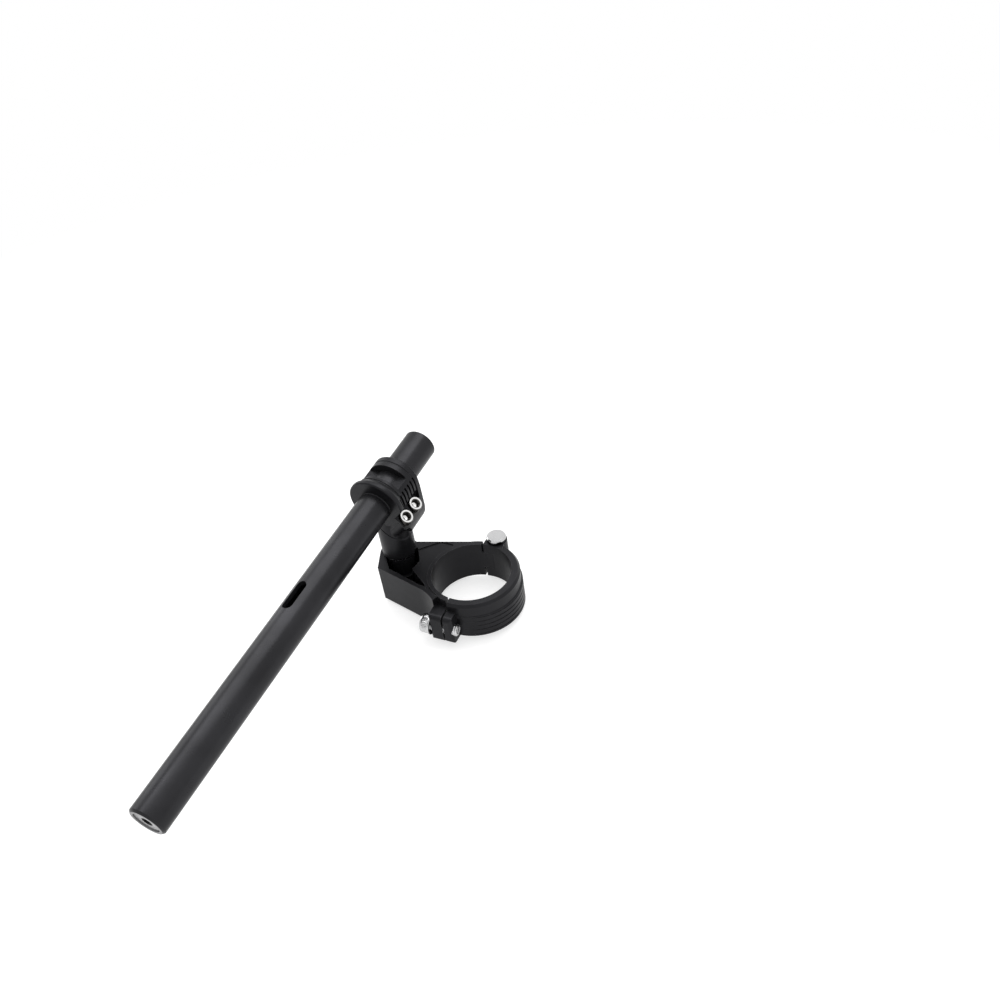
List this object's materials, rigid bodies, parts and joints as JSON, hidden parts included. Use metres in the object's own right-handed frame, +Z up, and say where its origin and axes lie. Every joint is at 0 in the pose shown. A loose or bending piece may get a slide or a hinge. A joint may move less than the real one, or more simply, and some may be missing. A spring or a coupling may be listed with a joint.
{
  "type": "clip on handlebar",
  "caption": "Left clip-on handlebar: a hinged fork clamp with an arm, a riser post that swivels on the arm, and a straight bar tube held in its own clamp.",
  "frame": {"origin": "centre of the fork clamp's bore, half way up the clamp", "axes": "+Z up along the fork tube; the arm and its riser post lie towards -X +Y; the bar's free end points towards -X -Y and slightly down"},
  "size_m": [0.2261, 0.2498, 0.1006],
  "materials": {
    "black_satin": "satin black anodised",
    "black_tube": "satin black anodised",
    "bright_screw": "bright plated",
    "plain_steel": "satin",
    "bare_aluminium": "turned"
  },
  "bodies": {
    "bracket": {"clamp_bracket": "black_satin", "ring_cap": "black_satin", "fork_screw": "bright_screw", "fork_screw_washer": "bright_screw", "hinge_pin": "bright_screw", "hinge_clip": "plain_steel", "swivel_washer": "plain_steel", "bolt_washer": "plain_steel"},
    "swivel": {"riser_post": "black_satin", "swivel_bolt": "plain_steel", "bar_clamp": "black_satin", "pinch_screw_a": "bright_screw", "pinch_screw_b": "bright_screw"},
    "bar": {"bar_tube": "black_tube", "end_plug": "bare_aluminium"}
  },
  "joints": [
    {"name": "bar_swing", "type": "hinge", "parent": "bracket", "child": "swivel", "pos_m": [-0.0449, 0.03347, 0.0156], "axis": [0, 0, 1], "range_deg": [-32, 23]},
    {"name": "bar_slide", "type": "slide", "parent": "swivel", "child": "bar", "axis": [-0.5695, -0.8134, -0.1184], "range_m": [-0.03, 0.03]}
  ]
}
